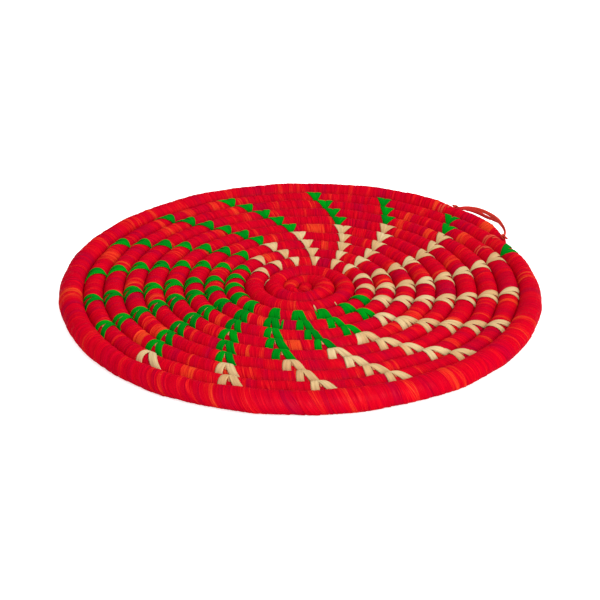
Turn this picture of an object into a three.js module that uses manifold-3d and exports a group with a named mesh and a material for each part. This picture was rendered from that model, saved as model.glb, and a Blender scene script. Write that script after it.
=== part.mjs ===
// Wall basket: a grass core in a red raffia wrap, coiled flat, stitched in swirling rays, with a hanging loop.
// Millimetres, +Z up. The basket lies on its back: its face is up and its back is at z = 0.
import * as THREE from "three";
import Module from "manifold-3d";

const wasm = await Module();
wasm.setup();

// Coil: one spiral that winds outward clockwise, seen from above. Angles run anticlockwise from +X.
const basketHeight = 300;
const turnGap = 1.2;
const stepsPerTurn = 24;
const startTurn = 0.3;
const fullTurn = 0.9;
const startShare = 0.5;
const wholeTurnCount = 11;
const rimShare = 1.2;
const rimStartAngle = 12;
const rimFullAngle = 331;
const rimLastAngle = 162;
const rimEndAngle = 72;
const taperAngle = 40;
const endAngle = 25.5;
const endShare = 0.26;
const wrapSides = 8;
const coreSides = 4;
const coreShare = 0.56;
const coreClearance = 0.3;

// Stitches: each ray is a chain of V stitches, one on each turn that it crosses.
const strapWidth = 4.4;
const strapThickness = 0.5;
const strapClearance = 0.35;
const legSpread = 9.5;
const fullSpreadRadius = 90;
const tuckDepth = 1.5;
const plainTurnCount = 2;

// The stitch chart. Each ray has the angle of its first stitch, its drift outward, how the drift is shared out,
// and its rows from the inside: N is natural raffia and G is green.
const rays = [
  { start: 147.5, drift: 25.5, bend: 0.86, rows: "NGGGGGGGG" },
  { start: 122.5, drift: 31, bend: 0.68, rows: "NNGGGGGGG" },
  { start: 100.5, drift: 32.5, bend: 0.76, rows: "NNNGGGGGG" },
  { start: 79, drift: 33.5, bend: 0.89, rows: "NNNNGGGGG" },
  { start: 56, drift: 31, bend: 0.84, rows: "NNNNNGGGG" },
  { start: 38, drift: 28.5, bend: 0.87, rows: "NNNNNNGGG" },
  { start: 14, drift: 30.5, bend: 1.03, rows: "NNNNNNNGG" },
  { start: 352, drift: 28, bend: 1.03, rows: "NNNNNNNNG" },
  { start: 327, drift: 27.5, bend: 0.64, rows: "GNNNNNNN" },
  { start: 307, drift: 27, bend: 0.88, rows: "GGNNNNNN" },
  { start: 285, drift: 29, bend: 1.06, rows: "GGGNNNNN" },
  { start: 264.5, drift: 28.5, bend: 0.95, rows: "GGGGNNNN" },
  { start: 245, drift: 28.5, bend: 0.98, rows: "GGGGGNNN" },
  { start: 221, drift: 29.5, bend: 0.77, rows: "GGGGGGNN" },
  { start: 203, drift: 22.5, bend: 0.8, rows: "GGGGGGGN" },
  { start: 184, drift: 21.5, bend: 0.73, rows: "GGGGGGGG" },
  { start: 168, drift: 21.5, bend: 0.6, rows: "GGGGGGGG" },
];

// Hanging loop and its two lashings.
const cordDiameter = 2.8;
const cordSides = 8;
const cordSteps = 30;
const cordClearance = 0.3;
const eyeWall = 0.65;
const eyeLength = 5;
const lashingThickness = 0.8;
const lashingClearance = 0.3;
const upperLashingAngle = 49;
const lowerLashingAngle = 28.6;
const eyeOutShare = 1.25;
const eyeRiseShare = 0.92;
const tailEyeShare = 0.8;
const lashingFootShare = 0.7;
const loopBulge = 12;

// Sizes that follow from the ones above.
const turnPitch = basketHeight / (2 * wholeTurnCount + 2 * rimShare);
const coilHalf = (turnPitch - turnGap) / 2;
const halfPitch = turnPitch / 2;
const turnAt = (angle, wholeTurns) => wholeTurns + (360 - angle) / 360;
const rimTurns = [
  turnAt(rimStartAngle, wholeTurnCount - 1),
  turnAt(rimFullAngle, wholeTurnCount),
  turnAt(rimLastAngle, wholeTurnCount),
  turnAt(rimEndAngle, wholeTurnCount),
];
const taperTurn = turnAt(taperAngle, wholeTurnCount);
const endTurn = turnAt(endAngle, wholeTurnCount);
const diagonal = Math.SQRT2;

const red = new THREE.MeshStandardMaterial({ color: 0xb0201c, roughness: 0.7, metalness: 0 });
const green = new THREE.MeshStandardMaterial({ color: 0x2c8a3c, roughness: 0.65, metalness: 0 });
const natural = new THREE.MeshStandardMaterial({ color: 0xdcc794, roughness: 0.65, metalness: 0 });
const orange = new THREE.MeshStandardMaterial({ color: 0xd2452a, roughness: 0.65, metalness: 0 });
const straw = new THREE.MeshStandardMaterial({ color: 0xb09660, roughness: 0.85, metalness: 0 });

// Half the coil's thickness at a given number of turns from the centre. The rim is thicker than the turns inside it.
function coilHalfAt(turn) {
  if (turn < fullTurn) {
    const share = (turn - startTurn) / (fullTurn - startTurn);
    return coilHalf * THREE.MathUtils.lerp(startShare, 1, share);
  }
  if (turn > taperTurn) {
    const share = (turn - taperTurn) / (endTurn - taperTurn);
    return coilHalf * THREE.MathUtils.lerp(1, endShare, share);
  }
  const [rimStart, rimFull, rimLast, rimEnd] = rimTurns;
  const growth = THREE.MathUtils.clamp((turn - rimStart) / (rimFull - rimStart), 0, 1);
  const decline = THREE.MathUtils.clamp((rimEnd - turn) / (rimEnd - rimLast), 0, 1);
  return coilHalf * THREE.MathUtils.lerp(1, rimShare, Math.min(growth, decline));
}

// Radius of the coil's centre line. The thick rim and the tapered tail stay against the turn inside them.
function coilRadius(turn) {
  const shift = turn > fullTurn ? coilHalfAt(turn) - coilHalf : 0;
  return turnPitch * turn + shift;
}

// A point in the section of the coil at a ring: out from its centre line, and up from its middle.
function atRing(turn, out, up) {
  const angle = -2 * Math.PI * turn;
  const radius = coilRadius(turn) + out;
  const middle = Math.max(coilHalf, coilHalfAt(turn));
  return new THREE.Vector3(radius * Math.cos(angle), radius * Math.sin(angle), middle + up);
}

// The same between rings, on the straight stretch that joins the two rings.
function onCoil(turn, out, up) {
  const ring = Math.floor(turn * stepsPerTurn + 1e-9);
  const before = atRing(ring / stepsPerTurn, out, up);
  const after = atRing((ring + 1) / stepsPerTurn, out, up);
  return before.lerp(after, turn * stepsPerTurn - ring);
}

// The turns at which the coil has a ring of points, from one turn to another.
function ringTurns(from, to) {
  const turns = [from];
  for (let ring = 0; ring <= Math.ceil(to * stepsPerTurn); ring += 1) {
    const turn = ring / stepsPerTurn;
    if (turn > from + 0.004 && turn < to - 0.004) {
      turns.push(turn);
    }
  }
  if (from < taperTurn && to > taperTurn) {
    turns.push(taperTurn);
  }
  turns.push(to);
  return turns.sort((one, two) => one - two);
}

// A polygon with flat sides at its top, bottom, left and right.
function polygon(sides, half) {
  const points = [];
  for (let side = 0; side < sides; side += 1) {
    const angle = (2 * side + 1) * Math.PI / sides;
    const reach = half / Math.cos(Math.PI / sides);
    points.push(new THREE.Vector2(reach * Math.cos(angle), reach * Math.sin(angle)));
  }
  return points;
}

// A closed surface from points and corner numbers.
function closedGeometry(points, corners) {
  const geometry = new THREE.BufferGeometry();
  geometry.setAttribute("position", new THREE.Float32BufferAttribute(points.flatMap((p) => [p.x, p.y, p.z]), 3));
  geometry.setIndex(corners);
  geometry.computeVertexNormals();
  return geometry;
}

// One unbroken tube along the coil, solid or with a bore that is open at both ends.
function coilTube(turns, outline, bore) {
  const rims = turns.map((turn) => outline(turn));
  const holes = bore ? turns.map((turn) => bore(turn)) : turns.map(() => []);
  const sides = rims[0].length;
  const boreSides = holes[0].length;
  const ringSize = sides + boreSides;
  const points = [];
  const corners = [];
  turns.forEach((turn, ring) => {
    for (const spot of [...rims[ring], ...holes[ring]]) {
      points.push(atRing(turn, spot.x, spot.y));
    }
  });
  for (let ring = 0; ring + 1 < turns.length; ring += 1) {
    const here = ring * ringSize;
    const next = here + ringSize;
    for (let side = 0; side < sides; side += 1) {
      const after = (side + 1) % sides;
      corners.push(here + side, here + after, next + after, here + side, next + after, next + side);
    }
    for (let side = 0; side < boreSides; side += 1) {
      const one = sides + side;
      const two = sides + (side + 1) % boreSides;
      corners.push(here + one, next + two, here + two, here + one, next + one, next + two);
    }
  }
  const last = (turns.length - 1) * ringSize;
  const ends = THREE.ShapeUtils.triangulateShape(rims[0], boreSides ? [holes[0]] : []);
  for (const [a, b, c] of ends) {
    corners.push(a, c, b, last + a, last + b, last + c);
  }
  return closedGeometry(points, corners);
}

const coilTurns = ringTurns(startTurn, endTurn);
const wrapOutline = (turn) => polygon(wrapSides, coilHalfAt(turn));
const wrapBore = (turn) => polygon(coreSides, coilHalfAt(turn) * coreShare + coreClearance);
const coreOutline = (turn) => polygon(coreSides, coilHalfAt(turn) * coreShare);
const wrapGeometry = coilTube(coilTurns, wrapOutline, wrapBore);
const coreGeometry = coilTube(coilTurns, coreOutline, null);

// The least gap of the wrap to itself, measured between points along its flanks, about a turn apart.
function leastCoilGap() {
  const samples = [];
  for (let ring = 0; ring + 1 < coilTurns.length; ring += 1) {
    const ends = [coilTurns[ring], coilTurns[ring + 1]];
    const [innerOne, innerTwo] = ends.map((turn) => atRing(turn, -coilHalfAt(turn), 0));
    const [outerOne, outerTwo] = ends.map((turn) => atRing(turn, coilHalfAt(turn), 0));
    for (let step = 0; step < 6; step += 1) {
      const inner = innerOne.clone().lerp(innerTwo, step / 6);
      const outer = outerOne.clone().lerp(outerTwo, step / 6);
      samples.push({ turn: THREE.MathUtils.lerp(ends[0], ends[1], step / 6), inner, outer });
    }
  }
  let least = Infinity;
  for (const one of samples) {
    for (const two of samples) {
      if (two.turn - one.turn > 0.4 && two.turn - one.turn < 1.6) {
        least = Math.min(least, one.outer.distanceTo(two.inner));
      }
    }
  }
  return least;
}
console.log(`least gap of the coil to itself: ${leastCoilGap().toFixed(2)} mm`);

// Places on a strap's path over a turn, at a height over the wrap: how far out its corners are, and its slope.
const cornerOut = (offset) => (diagonal - 1) * (coilHalf + offset);
const slopeUp = (out, offset) => diagonal * (coilHalf + offset) - out;

// A thin piece from an upper and a lower set of points and the upper triangles.
function thinPiece(upper, lower, triangles) {
  const count = upper.length;
  const corners = [];
  const edges = new Set();
  for (const [a, b, c] of triangles) {
    corners.push(a, b, c, count + a, count + c, count + b);
    edges.add(`${a},${b}`).add(`${b},${c}`).add(`${c},${a}`);
  }
  for (const edge of edges) {
    const [one, two] = edge.split(",").map(Number);
    if (!edges.has(`${two},${one}`)) {
      corners.push(two, one, count + one, two, count + one, count + two);
    }
  }
  return closedGeometry([...upper, ...lower], corners);
}

// The angle in degrees that a ray has drifted at a row, counted from 0.
function rayDrift(ray, row) {
  return ray.drift * (row / (ray.rows.length - 1)) ** ray.bend;
}

// The turn of a ray's row, at an angle past the ray's first stitch.
function rowTurn(ray, row, angle) {
  const fromFirst = (rays[0].start - ray.start + 360) % 360;
  return turnAt(rays[0].start, plainTurnCount) + row + (fromFirst - angle) / 360;
}

// The stitches of one colour in a ray, from one row to another, as one chain of straps.
function stitchChain(ray, firstRow, lastRow) {
  const upper = [];
  const lower = [];
  const triangles = [];
  const over = strapClearance + strapThickness;
  const strip = (in1, in2, out1, out2) => triangles.push([in1, out1, out2], [in1, out2, in2]);
  for (let row = firstRow; row <= lastRow; row += 1) {
    const angle = rayDrift(ray, row);
    const radius = turnPitch * rowTurn(ray, row, angle);
    const width = strapWidth * Math.min(1, 0.7 + 0.3 * radius / fullSpreadRadius);
    const spread = Math.max(legSpread * Math.min(1, (radius + halfPitch) / fullSpreadRadius), 1.2 * width);
    const lastOfRay = row === ray.rows.length - 1;
    const ahead = lastOfRay ? spread / 2 : (rayDrift(ray, row + 1) - angle) * Math.PI / 180 * radius;

    // A pair of points across a strap, at its upper and its lower side.
    const across = (arc, upperSpot, lowerSpot, reach) => {
      for (const edge of reach ?? [-width / 2, width / 2]) {
        const turn = rowTurn(ray, row, angle + (arc + edge) / radius * 180 / Math.PI);
        upper.push(onCoil(turn, ...upperSpot));
        lower.push(onCoil(turn, ...lowerSpot));
      }
      return upper.length - 2;
    };
    const spots = (spot) => [spot(over), spot(strapClearance)];
    const onTop = (side) => spots((offset) => [side * cornerOut(offset), coilHalf + offset]);
    const onSlope = (out) => spots((offset) => [out, slopeUp(Math.abs(out), offset)]);
    const onFlank = (side) => spots((offset) => [side * (coilHalf + offset), cornerOut(offset)]);
    const inGap = (side) => spots((offset) => [side * (coilHalf + offset), -tuckDepth]);
    const tuckedEnd = (arc, from) => {
      const flank = across(arc, ...onFlank(1));
      const tuck = across(arc, ...inGap(1));
      strip(from, from + 1, flank, flank + 1);
      strip(flank, flank + 1, tuck, tuck + 1);
    };

    if (row === firstRow) {
      const tuck = across(0, ...inGap(-1));
      const flank = across(0, ...onFlank(-1));
      strip(tuck, tuck + 1, flank, flank + 1);
    }
    const apex = upper.length - 2;
    const plusLeg = 0.62 * ahead;
    const minusLeg = plusLeg - Math.max(0.62 * spread, 1.15 * width);
    const notch = 0.15 * (plusLeg + minusLeg);
    const left = across(0, ...onTop(-1), [-0.8 * width, notch, 0.8 * width]) - 1;
    const middle = left + 1;
    const right = left + 2;
    const minus = across(minusLeg, ...onTop(1));
    const plus = across(plusLeg, ...onTop(1));
    triangles.push([apex, left, middle], [apex, middle, apex + 1], [apex + 1, middle, right]);
    strip(left, middle, minus, minus + 1);
    strip(middle, right, plus, plus + 1);
    tuckedEnd(ahead - spread, minus);
    if (lastOfRay) {
      tuckedEnd(ahead, plus);
    } else {
      const next = across(ahead, ...onSlope(row === lastRow ? 0.9 * coilHalf : halfPitch));
      strip(plus, plus + 1, next, next + 1);
    }
  }
  return thinPiece(upper, lower, triangles);
}

function toManifold(geometry) {
  const indexed = geometry.index ? geometry : geometry.clone();
  const position = indexed.getAttribute("position");
  const keys = new Map();
  const vertices = [];
  const numbers = [];
  for (let point = 0; point < position.count; point += 1) {
    const spot = [position.getX(point), position.getY(point), position.getZ(point)];
    const key = spot.map((value) => Math.round(value * 1e5)).join(",");
    if (!keys.has(key)) {
      keys.set(key, vertices.length / 3);
      vertices.push(...spot);
    }
    numbers.push(keys.get(key));
  }
  const corners = indexed.index ? Array.from(indexed.index.array, (corner) => numbers[corner]) : numbers;
  return new wasm.Manifold(new wasm.Mesh({
    numProp: 3,
    vertProperties: new Float32Array(vertices),
    triVerts: new Uint32Array(corners),
  }));
}

function fromManifold(solid) {
  const mesh = solid.getMesh();
  const geometry = new THREE.BufferGeometry();
  geometry.setAttribute("position", new THREE.BufferAttribute(new Float32Array(mesh.vertProperties), 3));
  geometry.setIndex(Array.from(mesh.triVerts));
  geometry.computeVertexNormals();
  return geometry;
}

// The two eyes that the loop turns in, and the line through them.
const upperTurn = turnAt(upperLashingAngle, wholeTurnCount);
const lowerTurn = turnAt(lowerLashingAngle, wholeTurnCount - 1);
const tailHalf = coilHalfAt(lowerTurn + 1);
const tailOut = coilRadius(lowerTurn + 1) - coilRadius(lowerTurn);
const eyeRise = coilHalf * eyeRiseShare;
const upperEye = onCoil(upperTurn, coilHalf * eyeOutShare, eyeRise);
const lowerEye = onCoil(lowerTurn, tailOut + tailHalf * tailEyeShare, eyeRise);
const eyeSpan = upperEye.distanceTo(lowerEye);
const alongLoop = lowerEye.clone().sub(upperEye).normalize();
const outward = new THREE.Vector3(-alongLoop.y, alongLoop.x, 0);

// The loop's route: its share of the way from eye to eye, and how far it bows out.
const stub = eyeLength / 2 + 1.5;
const bow = [[0.1, 0.12], [0.16, 0.41], [0.23, 0.7], [0.33, 0.92], [0.44, 1], [0.55, 0.97], [0.65, 0.87],
  [0.76, 0.68], [0.84, 0.41], [0.9, 0.12]];
const onLoop = (run, out) => upperEye.clone().addScaledVector(alongLoop, run).addScaledVector(outward, out);
const route = [
  onLoop(-stub, 0),
  onLoop(-stub / 2, 0),
  onLoop(0, 0),
  onLoop(eyeLength / 2, 0),
  ...bow.map(([share, out]) => onLoop(share * eyeSpan, out * loopBulge)),
  onLoop(eyeSpan - eyeLength / 2, 0),
  onLoop(eyeSpan, 0),
  onLoop(eyeSpan + stub / 2, 0),
  onLoop(eyeSpan + stub, 0),
];
const cordShape = new THREE.Shape(polygon(cordSides, cordDiameter / 2));
const cordPath = new THREE.CatmullRomCurve3(route);
const cordGeometry = new THREE.ExtrudeGeometry(cordShape, { steps: cordSteps, extrudePath: cordPath });
console.log(`cord length: ${cordPath.getLength().toFixed(1)} mm`);

// A rod along the line of the eyes, round one eye.
function eyeRod(centre, half, length) {
  const shape = new THREE.Shape(polygon(cordSides, half));
  const rod = new THREE.ExtrudeGeometry(shape, { depth: length, bevelEnabled: false });
  rod.translate(0, 0, -length / 2);
  const basis = new THREE.Matrix4().makeBasis(outward, new THREE.Vector3(0, 0, 1), alongLoop);
  rod.applyMatrix4(basis.setPosition(centre));
  return toManifold(rod);
}

// A lashing: a strap with the given outline over the rim, an eye for the loop, and room for the coil.
function lashing(turn, under, upper, eye) {
  const middle = (Math.floor(turn * stepsPerTurn) + 0.5) / stepsPerTurn;
  const angle = -2 * Math.PI * middle;
  const out = new THREE.Vector3(Math.cos(angle), Math.sin(angle), 0);
  const up = new THREE.Vector3(0, 0, 1);
  const shape = new THREE.Shape([...under, ...upper.reverse()].map(([x, z]) => new THREE.Vector2(x, z)));
  const strap = new THREE.ExtrudeGeometry(shape, { depth: eyeLength, bevelEnabled: false });
  strap.translate(0, 0, -eyeLength / 2);
  const basis = new THREE.Matrix4().makeBasis(out, up, out.clone().cross(up));
  strap.applyMatrix4(basis.setPosition(onCoil(turn, 0, 0)));
  const room = (from, to) => toManifold(coilTube(ringTurns(from, to),
    (at) => polygon(wrapSides, coilHalfAt(at) + lashingClearance), null));
  const boreHalf = cordDiameter / 2 / Math.cos(Math.PI / cordSides) + cordClearance;
  const solid = toManifold(strap)
    .add(eyeRod(eye, boreHalf + eyeWall, eyeLength))
    .subtract(eyeRod(eye, boreHalf, 3 * eyeLength))
    .subtract(room(turn - 0.1, turn + 0.05))
    .subtract(room(upperTurn - 0.1, endTurn));
  return fromManifold(solid);
}

// The upper lashing goes over the rim turn alone, from its inner top corner to low on its outer side.
const footDrop = coilHalf * lashingFootShare;
const hug = (offset) => [
  [-cornerOut(offset), coilHalf + offset],
  [cornerOut(offset), coilHalf + offset],
  [coilHalf + offset, cornerOut(offset)],
  [coilHalf + offset, -cornerOut(offset)],
  [diagonal * (coilHalf + offset) - footDrop, -footDrop],
];
const skin = lashingClearance + 0.05;
const upperLashing = lashing(upperTurn, hug(skin), hug(skin + lashingThickness), upperEye);

// The lower lashing goes over the turn inside and binds the tapered tail beside it.
const bind = (offset) => [
  [-cornerOut(offset), coilHalf + offset],
  [cornerOut(offset), coilHalf + offset],
  [slopeUp(tailHalf + offset, offset), tailHalf + offset],
  [tailOut + (diagonal - 1) * (tailHalf + offset), tailHalf + offset],
  [tailOut + tailHalf + offset, (diagonal - 1) * (tailHalf + offset)],
  [tailOut + tailHalf + offset, -tailHalf],
];
const lowerLashing = lashing(lowerTurn, bind(skin), bind(skin + lashingThickness), lowerEye);

const basket = new THREE.Group();
basket.name = "wall_basket";

function addPart(name, geometry, material) {
  const mesh = new THREE.Mesh(geometry, material);
  mesh.name = name;
  basket.add(mesh);
  return mesh;
}

addPart("grass_core", coreGeometry, straw);
addPart("red_wrap", wrapGeometry, red);
const raffia = { G: ["green", green], N: ["natural", natural] };
rays.forEach((ray, index) => {
  const number = String(index + 1).padStart(2, "0");
  for (const letter of new Set(ray.rows)) {
    const [name, material] = raffia[letter];
    const chain = stitchChain(ray, ray.rows.indexOf(letter), ray.rows.lastIndexOf(letter));
    addPart(`${name}_stitches_ray_${number}`, chain, material);
  }
});
addPart("upper_lashing", upperLashing, orange);
addPart("lower_lashing", lowerLashing, orange);
const loopMesh = addPart("hanging_loop", cordGeometry, orange);

// The origin is under the middle of the basket, without its loop, on the plane that it lies on.
const box = new THREE.Box3();
for (const mesh of basket.children) {
  if (mesh !== loopMesh) {
    box.expandByObject(mesh);
  }
}
const middle = box.getCenter(new THREE.Vector3());
for (const mesh of basket.children) {
  mesh.position.set(-middle.x, -middle.y, -box.min.z);
}
const shown = (point) => point.clone().add(loopMesh.position).toArray().map((value) => value.toFixed(2)).join(" ");
console.log(`spiral centre: ${shown(new THREE.Vector3(0, 0, 0))}`);
console.log(`upper eye: ${shown(upperEye)}, lower eye: ${shown(lowerEye)}`);

export default basket;
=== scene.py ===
"""Wall basket: a flat coil of grass wrapped in red raffia, stitched in swirling rays, with a loop.

The functions work in millimetres, in the frame of the solids, and the meshes are in metres.
"""
import math

import bpy
import numpy as np
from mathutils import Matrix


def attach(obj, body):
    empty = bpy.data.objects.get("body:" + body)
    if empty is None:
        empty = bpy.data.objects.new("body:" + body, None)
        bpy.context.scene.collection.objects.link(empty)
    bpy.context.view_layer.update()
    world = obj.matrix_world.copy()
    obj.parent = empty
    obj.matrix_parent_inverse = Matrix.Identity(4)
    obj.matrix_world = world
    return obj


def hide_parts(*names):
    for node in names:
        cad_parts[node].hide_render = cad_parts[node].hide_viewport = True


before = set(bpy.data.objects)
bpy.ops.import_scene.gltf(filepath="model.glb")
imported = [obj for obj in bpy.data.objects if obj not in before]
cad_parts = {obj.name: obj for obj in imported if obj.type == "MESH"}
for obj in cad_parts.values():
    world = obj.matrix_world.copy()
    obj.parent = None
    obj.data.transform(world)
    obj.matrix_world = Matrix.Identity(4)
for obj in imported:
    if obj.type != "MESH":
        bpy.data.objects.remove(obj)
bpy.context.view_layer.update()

MM = 0.001

# Camera: it looks along +Y at the middle of the basket's face, from above.
camera_height_angle = 26.47
camera_distance = 1302
camera_lens = 127.95
camera_sensor = 36
picture_side = 600
picture_shift_right = 4.7
picture_shift_up = 17.1
face_height = 12

# Studio: the light from all round, the floor's size, and its glow, which only the camera sees.
world_light = 0.885
floor_reach = 6000
floor_glow = 0.6

# Coil: one spiral that winds outward clockwise, seen from above. Angles run anticlockwise from +X.
turn_pitch = 12.295
coil_centre = (3.86, -2.19)
plain_half = 6.1
base_height = 0.35
lowest_height = 0.02
whole_turns = 11
start_turn = -0.1
curl_turn = 0.25
spiral_turn = 1.25
rim_turn = 10.967
tail_turn = whole_turns + (360 - 42) / 360
end_turn = whole_turns + (360 - 27.5) / 360
end_rounding = 3
least_rounding = 0.004

# Half the coil's thickness along its turns: thin at the start, fuller in the rim, tapered at the end.
coil_sizes = [
    (start_turn, 3.6), (0.25, 3.7), (0.5, 4.1), (0.75, 5.4), (1, 6.9), (spiral_turn, plain_half),
    (rim_turn, plain_half), (11.06, 7.3), (11.25, 6.8), (11.29, 6.8), (11.33, 6.6), (11.38, 6.3),
    (11.45, 7.1), (11.5, 7.2), (11.72, 6.7), (11.85, 6.8), (11.862, 6.1), (tail_turn, 6.1),
    (11.9, 5.2), (end_turn, 1.9),
]

# Radius of the first turn, before the even spiral begins.
centre_radii = [
    (start_turn, 2.6), (0, 3.4), (0.25, 6.9), (0.5, 9.4), (0.75, 10.4), (1, 11.4),
    (spiral_turn, spiral_turn * turn_pitch),
]

# Bulges of the outer turns by angle: on the right over several turns, at the front left over one.
right_swell = [
    (-62, 0), (-51, 1.1), (-41, 0.8), (-35, 1.2), (-16, 0.8), (-6, 1.3), (12, 2.5), (24, 2), (40, 1),
    (50, 0),
]
right_swell_turn = 7
right_swell_growth = 3.5
front_swell = [(-162, 0), (-138, 1.5), (-119, 0.9), (-105, 0)]
front_swell_turn = 9.88

# Knot: the wound end that the coil starts from, as offsets from the coil's centre.
knot_start = (-1.6, -4.6)
knot_end = (0.9, 6.2)
knot_half = 4.7
knot_bend = 0.9
knot_fullness = 2.6
knot_least = 0.0004
knot_foot = 0.35
knot_foot_rise = 0.3
knot_ridge = 0.02
knot_ridge_waves = 21
knot_rings = 33
knot_sides = 20
knot_strand = 9000
knot_strip_share = 0.2

# Core: grass stems that run along the coil, set off from its middle.
core_start = 0.35
core_end_gap = 0.006
core_steps = 60
core_stems = 5
stem_sides = 5
stem_offset = 2.52
stem_half = 1.55
stem_drift = 1.1

# Wrap: strips of raffia wound round the coil side by side, each lapping over the one before.
strip_width = 2.5
strip_spread = 0.42
strip_limits = (0.4, 2.2)
strip_draws = 3200
strip_seed = 11
lap_seed = 12
strip_starts = 3
ring_shares = np.array([0, 0.16, 0.5, 0.9])
wrap_columns = 24
lap_height = 0.17
lap_limits = (0.2, 1.7)
strip_crown = 0.06
strip_tension = 0.07
side_press = 0.2
press_power = 6
pinch_reach = 5
pinch_depth = 0.25
pinch_calm = 0.75

# Slow waves of the wrap: the height, the length along the coil, the waves round it, and the shift.
lump_waves = [(0.16, 9.1, 0, 1.3), (0.13, 4.7, 1, 0), (0.1, 17.3, -2, 0)]

# Lean of the windings: on the coil and in the rim, and its waves by share and length along the coil.
plain_slant = 0.6
rim_slant = 1.7
slant_rise = 0.1
slant_waves = [(0.45, 31), (0.35, 12.7)]

# Flat strand: its points across from edge to edge and one below, and the height of each.
strap_across = np.array([-1, -0.72, -0.38, 0, 0.38, 0.72, 1, 0])
strap_arch = np.array([0, 0.72, 0.95, 1, 0.95, 0.72, 0, -0.6])
strap_top = slice(1, 6)
top_points = 5

# Stitches: two legs on each turn that a ray crosses, open towards the rim, and a strand at the back.
leg_width = 4.5
natural_share = 1.05
small_share = 0.75
leg_spread = 10.3
behind_share = 0.45
apex_setback = 0.8
drift_share = 0.6
full_spread_radius = 90
first_row_size = 0.8
spread_limits = (0.88, 1.16)
width_limits = (0.92, 1.08)
leg_waver = 0.3
leg_lift = 0.2
over_lift = 0.16
leg_crown = 0.24
leg_ridge = 0.03
leg_steps = 17
leg_top = math.radians(188)
leg_end = math.radians(-8)
apex_angle = math.radians(150)
parted_angle = math.radians(8)
taper_start = math.radians(165)
taper_run = math.radians(60)
apex_width = 0.25
tuck_run = 0.5
tuck_share = 0.1
tuck_depth = 0.1
back_start = 2.5
back_end = -1.5
back_waver = 0.6
back_lift = 0.1
back_crown = 0.2
plain_turns = 2

# The stitch chart. Each ray has the angle of its first stitch, its drift outward, how the drift is
# shared out, and its rows from the inside: N is natural raffia and G is green.
rays = [
    (147.5, 25.5, 0.86, "NGGGGGGGG"),
    (122.5, 31, 0.68, "NNGGGGGGG"),
    (100.5, 32.5, 0.76, "NNNGGGGGG"),
    (79, 33.5, 0.89, "NNNNGGGGG"),
    (56, 31, 0.84, "NNNNNGGGG"),
    (38, 28.5, 0.87, "NNNNNNGGG"),
    (14, 30.5, 1.03, "NNNNNNNGG"),
    (352, 28, 1.03, "NNNNNNNNG"),
    (327, 27.5, 0.64, "GNNNNNNN"),
    (307, 27, 0.88, "GGNNNNNN"),
    (285, 29, 1.06, "GGGNNNNN"),
    (264.5, 28.5, 0.95, "GGGGNNNN"),
    (245, 28.5, 0.98, "GGGGGNNN"),
    (221, 29.5, 0.77, "GGGGGGNN"),
    (203, 22.5, 0.8, "GGGGGGGN"),
    (184, 21.5, 0.73, "GGGGGGGG"),
    (168, 21.5, 0.6, "GGGGGGGG"),
]

# Stitches that spread wider than the others: the number of the ray and the row, how many times as
# wide, and the lean along the coil. Rays count from one and rows from nought.
wide_stitches = {(8, 8): (1.4, 1), (15, 7): (1.65, 8.5)}

# Stray strands beside the stitches: the number of the ray and its raffia, the angle and whole turns
# where each lies, the angles round the section where it begins and ends, its lean along the coil,
# and its width.
strays = [
    (1, "N", 167, 1, 60, 14, 0.6, 1.7),
    (10, "N", 306, 2, 52, 30, 0.5, 0.7),
    (10, "N", 319.2, 6, 120, 0, 2, 3),
    (11, "N", 280, 2, 62, 22, 1.2, 1),
    (11, "N", 294.4, 6, 120, 0, -2.1, 3.2),
    (12, "G", 279, 3, 95, 0, 1.5, 1.3),
    (13, "G", 256, 4, 98, -4, 0.6, 1.3),
]
stray_widths = (0.3, 4)
stray_lift = 0.3
stray_crown = 0.2
stray_ridge = 0.02

# Specks of grass in the forks of the front stitches: the rays, and the angles where a speck lies.
peek_rays = range(11, 17)
peek_start = math.radians(84)
peek_end = math.radians(58)
peek_seed = 31
peek_waver = 0.2
peek_point = 0.4
peek_limits = (0.5, 2)
peek_lifts = (0.22, 0.02)
peek_crown = 0.12

# Hanging loop: its two eyes, and its bow between them: the share of the way, how far outward and
# how far up.
upper_eye = np.array([103.49, 112.32, 10.65])
lower_eye = np.array([130.96, 67.13, 10.65])
loop_diameter = 2.8
loop_stub = 4.5
loop_bow = [
    (0, 0, 0), (0.025, 0.4, 0), (0.055, 2, 0.1), (0.095, 4.4, 0.3), (0.15, 6.6, 0.4), (0.23, 8.7, 0.5),
    (0.33, 10.5, 0.4), (0.44, 11.3, 0.2), (0.55, 11.1, 0), (0.65, 10.2, 0), (0.76, 8.4, 0),
    (0.85, 6.5, 0), (0.92, 4.4, 0), (0.96, 2.2, 0), (0.985, 0.5, 0), (1, 0, 0),
]
route_steps = 6

# The loop's two strands: how far outward in the eyes, where they are flat and where they part, how
# far up where flat and where they part, and the middle, swing and waves of their roll.
loop_strands = [
    (0.4, -0.05, 0, 0.25, 0.3, 1.25, 0.5, 9),
    (0, -0.3, -1.7, -0.1, -0.9, 1.7, -0.6, 7),
]
ply_sides = 10
gathered_run = 1
gathered_half = 0.7
gathered_depth = 0.5
flat_run = 7
flat_half = 0.65
flat_depth = -0.08
half_waver = 0.12
half_waver_waves = 23
half_waver_shift = 5
ply_rounding = 1.5
ply_least = 0.12
parting_place = 0.4
parting_reach = 0.15

# Lashings: the piece, its solid, the angle and whole turns of its laps, their number and their pitch.
lashings = [
    ("upper_lashing_laps", "upper_lashing", 50.3, 11, 3, 1.6),
    ("lower_lashing_laps", "lower_lashing", 28.6, 10, 3, 1.6),
    ("lower_lashing_tie", "lower_lashing", 23.5, 9, 2, 1.5),
]
lap_steps = 24
lap_start = math.radians(100)
lap_lean = 1.1
lap_wander = 0.6
wander_waves = 2.3
lap_lift = 0.1
eye_laps = 2
eye_steps = 33
eye_pitch = 0.9
eye_sink = 0.1
strand_sides = 8

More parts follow.
